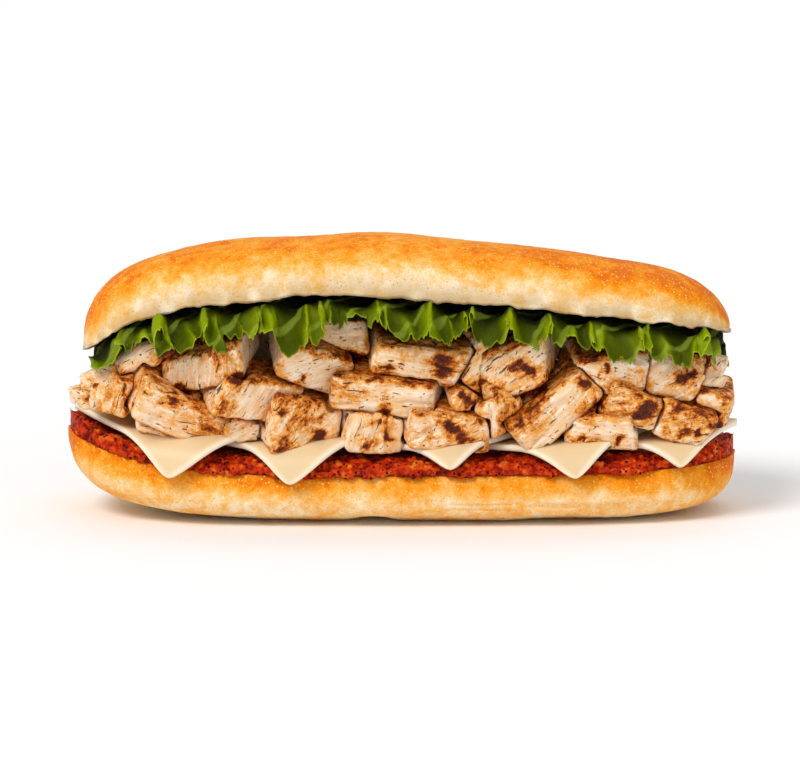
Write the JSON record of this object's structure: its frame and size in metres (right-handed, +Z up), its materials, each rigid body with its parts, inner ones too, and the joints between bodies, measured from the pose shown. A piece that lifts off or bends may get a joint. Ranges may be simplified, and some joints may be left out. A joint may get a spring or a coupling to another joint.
{
  "type": "submarine sandwich",
  "caption": "Long soft roll split and filled with red pepper spread, square cheese slices, diced grilled chicken and frilled lettuce.",
  "frame": {"origin": "middle of the underside, under the middle of the bounding box", "axes": "+X along the roll to the right as seen from the open front side, -Y towards the open front side, +Z up"},
  "size_m": [0.234, 0.0964, 0.0978],
  "materials": {
    "crust": "soft baked crust, golden orange on top and pale cream at the cut rim",
    "spread": "moist coarse red pepper spread with dark specks",
    "cheese": "smooth pale cream, slightly see-through at the edges",
    "chicken": "pale fibrous cut faces, browned grilled faces with dark char marks",
    "lettuce": "fresh green leaf with lighter frilled edges"
  },
  "bodies": {
    "root": {"heel": "crust", "spread": "spread", "cheese_slice_01": "cheese", "cheese_slice_02": "cheese", "cheese_slice_03": "cheese", "cheese_slice_04": "cheese", "cheese_slice_05": "cheese", "chicken_01": "chicken", "chicken_02": "chicken", "chicken_03": "chicken", "chicken_04": "chicken", "chicken_05": "chicken", "chicken_06": "chicken", "chicken_07": "chicken", "chicken_08": "chicken", "chicken_09": "chicken", "chicken_10": "chicken", "chicken_11": "chicken", "chicken_12": "chicken", "chicken_13": "chicken", "chicken_14": "chicken", "chicken_15": "chicken", "chicken_16": "chicken", "chicken_17": "chicken", "chicken_18": "chicken", "chicken_19": "chicken", "chicken_20": "chicken", "chicken_21": "chicken", "chicken_22": "chicken", "chicken_23": "chicken", "chicken_24": "chicken", "chicken_25": "chicken", "chicken_26": "chicken", "chicken_27": "chicken", "chicken_28": "chicken", "chicken_29": "chicken", "chicken_30": "chicken", "chicken_31": "chicken", "chicken_32": "chicken", "chicken_33": "chicken", "chicken_34": "chicken", "chicken_35": "chicken", "chicken_36": "chicken", "chicken_37": "chicken", "chicken_38": "chicken", "chicken_39": "chicken", "chicken_40": "chicken", "chicken_41": "chicken", "chicken_42": "chicken", "chicken_43": "chicken", "chicken_44": "chicken", "chicken_45": "chicken", "chicken_46": "chicken", "chicken_47": "chicken", "chicken_48": "chicken", "chicken_49": "chicken", "lettuce_leaf_01": "lettuce", "lettuce_leaf_02": "lettuce", "lettuce_leaf_03": "lettuce", "crown": "crust"}
  },
  "joints": []
}
